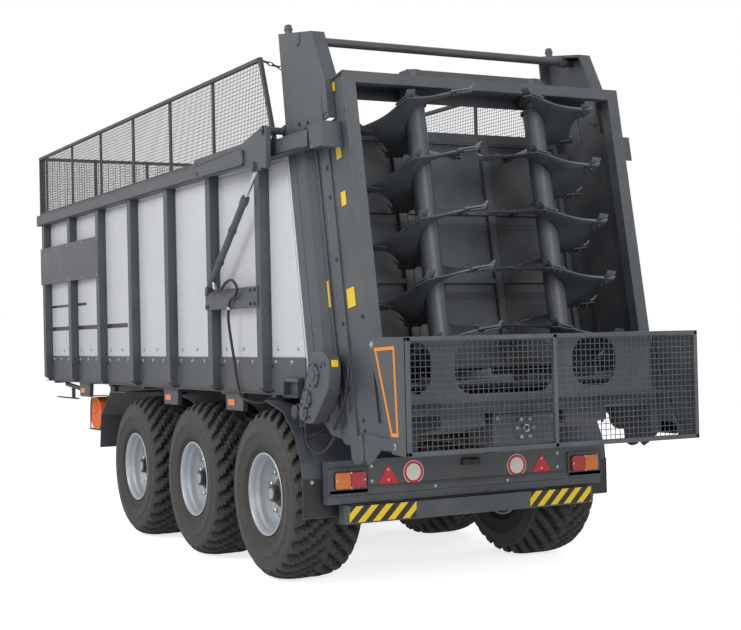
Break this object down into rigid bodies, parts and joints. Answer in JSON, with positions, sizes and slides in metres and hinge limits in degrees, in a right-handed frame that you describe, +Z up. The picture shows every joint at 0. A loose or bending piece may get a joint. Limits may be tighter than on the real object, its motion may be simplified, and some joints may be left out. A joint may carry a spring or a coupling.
{
  "type": "manure spreader",
  "caption": "Towed tridem-axle manure spreader: tall silver hopper with mesh screens, lifting slurry gate, leaning two-beater rear unit and fold-down guard.",
  "frame": {"origin": "centre of the overall box at ground level", "axes": "+X forward to the tow coupling, +Y to the left, +Z up from the ground"},
  "size_m": [9.56, 2.658, 3.9225],
  "materials": {
    "frame_grey": "semi-gloss dark grey paint",
    "wall_silver": "smooth silver coated sheet",
    "rim_silver": "silver painted steel",
    "tyre": "dusty rubber with block lugs",
    "hose_rubber": "black hydraulic hose",
    "steel": "worn bare steel",
    "chock_orange": "orange moulded plastic",
    "lamp_red": "red and amber lamp lens"
  },
  "bodies": {
    "root": {"chassis_frame": "frame_grey", "drawbar": "frame_grey", "coupling_head": "steel", "parking_jack": "frame_grey", "side_wall_left": "wall_silver", "side_wall_right": "wall_silver", "side_frame_left": "frame_grey", "side_frame_right": "frame_grey", "floor_deck": "frame_grey", "scraper_floor": "steel", "front_wall": "frame_grey", "screen_left": "frame_grey", "screen_right": "frame_grey", "screen_front": "frame_grey", "screen_chain": "steel", "axle_rear": "frame_grey", "axle_middle": "frame_grey", "axle_front": "frame_grey", "suspension_left": "frame_grey", "suspension_right": "frame_grey", "spreader_side_left": "frame_grey", "spreader_side_right": "frame_grey", "spreader_top_beam": "frame_grey", "spreader_bed": "frame_grey", "gate_towers": "frame_grey", "light_beam": "frame_grey", "tail_light_left": "lamp_red", "tail_light_right": "lamp_red", "mudguard_rear_left": "frame_grey", "mudguard_rear_right": "frame_grey", "mudguard_front_left": "frame_grey", "mudguard_front_right": "frame_grey", "floor_drive": "frame_grey", "wheel_chock": "chock_orange", "lift_hose": "hose_rubber"},
    "wheel_rear_left": {"rim_rear_left": "rim_silver", "tyre_rear_left": "tyre"},
    "wheel_rear_right": {"rim_rear_right": "rim_silver", "tyre_rear_right": "tyre"},
    "wheel_middle_left": {"rim_middle_left": "rim_silver", "tyre_middle_left": "tyre"},
    "wheel_middle_right": {"rim_middle_right": "rim_silver", "tyre_middle_right": "tyre"},
    "wheel_front_left": {"rim_front_left": "rim_silver", "tyre_front_left": "tyre"},
    "wheel_front_right": {"rim_front_right": "rim_silver", "tyre_front_right": "tyre"},
    "beater_left": {"beater_left": "frame_grey", "spinner_disc_left": "frame_grey"},
    "beater_right": {"beater_right": "frame_grey", "spinner_disc_right": "frame_grey"},
    "drive_shaft": {"drive_shaft": "steel"},
    "slurry_gate": {"slurry_gate": "frame_grey"},
    "gate_arm_left": {"gate_arm_left": "frame_grey"},
    "cylinder_barrel_left": {"cylinder_barrel_left": "frame_grey"},
    "cylinder_rod_left": {"cylinder_rod_left": "steel"},
    "gate_arm_right": {"gate_arm_right": "frame_grey"},
    "cylinder_barrel_right": {"cylinder_barrel_right": "frame_grey"},
    "cylinder_rod_right": {"cylinder_rod_right": "steel"},
    "rear_guard": {"rear_guard": "frame_grey"}
  },
  "joints": [
    {"name": "wheel_rear_left_spin", "type": "hinge", "parent": "root", "child": "wheel_rear_left", "pos_m": [-2.88, 1, 0.616], "axis": [0, 1, 0], "continuous": true},
    {"name": "wheel_rear_right_spin", "type": "hinge", "parent": "root", "child": "wheel_rear_right", "pos_m": [-2.88, -1, 0.616], "axis": [0, 1, 0], "continuous": true},
    {"name": "wheel_middle_left_spin", "type": "hinge", "parent": "root", "child": "wheel_middle_left", "pos_m": [-1.458, 1, 0.616], "axis": [0, 1, 0], "continuous": true},
    {"name": "wheel_middle_right_spin", "type": "hinge", "parent": "root", "child": "wheel_middle_right", "pos_m": [-1.458, -1, 0.616], "axis": [0, 1, 0], "continuous": true},
    {"name": "wheel_front_left_spin", "type": "hinge", "parent": "root", "child": "wheel_front_left", "pos_m": [-0.036, 1, 0.616], "axis": [0, 1, 0], "continuous": true},
    {"name": "wheel_front_right_spin", "type": "hinge", "parent": "root", "child": "wheel_front_right", "pos_m": [-0.036, -1, 0.616], "axis": [0, 1, 0], "continuous": true},
    {"name": "beater_left_spin", "type": "hinge", "parent": "root", "child": "beater_left", "pos_m": [-4.06109, 0.49, 1.93813], "axis": [0.1709, 0, 0.9853], "continuous": true},
    {"name": "beater_right_spin", "type": "hinge", "parent": "root", "child": "beater_right", "pos_m": [-4.06109, -0.49, 1.93813], "axis": [0.1709, 0, 0.9853], "continuous": true},
    {"name": "drive_shaft_spin", "type": "hinge", "parent": "root", "child": "drive_shaft", "pos_m": [-0.78, 0, 0.985], "axis": [1, 0, 0], "continuous": true},
    {"name": "gate_lift", "type": "slide", "parent": "root", "child": "slurry_gate", "axis": [0.1709, 0, 0.9853], "range_m": [0, 0.75]},
    {"name": "gate_arm_left_hinge", "type": "hinge", "parent": "root", "child": "gate_arm_left", "pos_m": [-1.808, 1.308, 3.053], "axis": [0, 1, 0], "range_deg": [0, 35]},
    {"name": "cylinder_barrel_left_hinge", "type": "hinge", "parent": "root", "child": "cylinder_barrel_left", "pos_m": [-1.968, 1.285, 2.114], "axis": [0, 1, 0], "range_deg": [0, 20.86]},
    {"name": "cylinder_rod_left_slide", "type": "slide", "parent": "cylinder_barrel_left", "child": "cylinder_rod_left", "axis": [-0.7656, 0, 0.6434], "range_m": [0, 0.4371]},
    {"name": "gate_arm_right_hinge", "type": "hinge", "parent": "root", "child": "gate_arm_right", "pos_m": [-1.808, -1.308, 3.053], "axis": [0, 1, 0], "range_deg": [0, 35]},
    {"name": "cylinder_barrel_right_hinge", "type": "hinge", "parent": "root", "child": "cylinder_barrel_right", "pos_m": [-1.968, -1.285, 2.114], "axis": [0, 1, 0], "range_deg": [0, 20.86]},
    {"name": "cylinder_rod_right_slide", "type": "slide", "parent": "cylinder_barrel_right", "child": "cylinder_rod_right", "axis": [-0.7656, 0, 0.6434], "range_m": [0, 0.4371]},
    {"name": "rear_guard_hinge", "type": "hinge", "parent": "root", "child": "rear_guard", "pos_m": [-4.613, 0, 1.048], "axis": [0, -1, 0], "range_deg": [0, 90]}
  ],
  "couplings": [
    {"joint": "beater_right_spin", "follows": "beater_left_spin", "ratio": -1},
    {"joint": "drive_shaft_spin", "follows": "beater_left_spin", "ratio": 2.5},
    {"joint": "gate_arm_left_hinge", "follows": "gate_lift", "rad_per_m": 0.81449},
    {"joint": "cylinder_barrel_left_hinge", "follows": "gate_lift", "rad_per_m": 0.48521},
    {"joint": "cylinder_rod_left_slide", "follows": "gate_lift", "ratio": 0.58267},
    {"joint": "gate_arm_right_hinge", "follows": "gate_lift", "rad_per_m": 0.81449},
    {"joint": "cylinder_barrel_right_hinge", "follows": "gate_lift", "rad_per_m": 0.48521},
    {"joint": "cylinder_rod_right_slide", "follows": "gate_lift", "ratio": 0.58267}
  ]
}
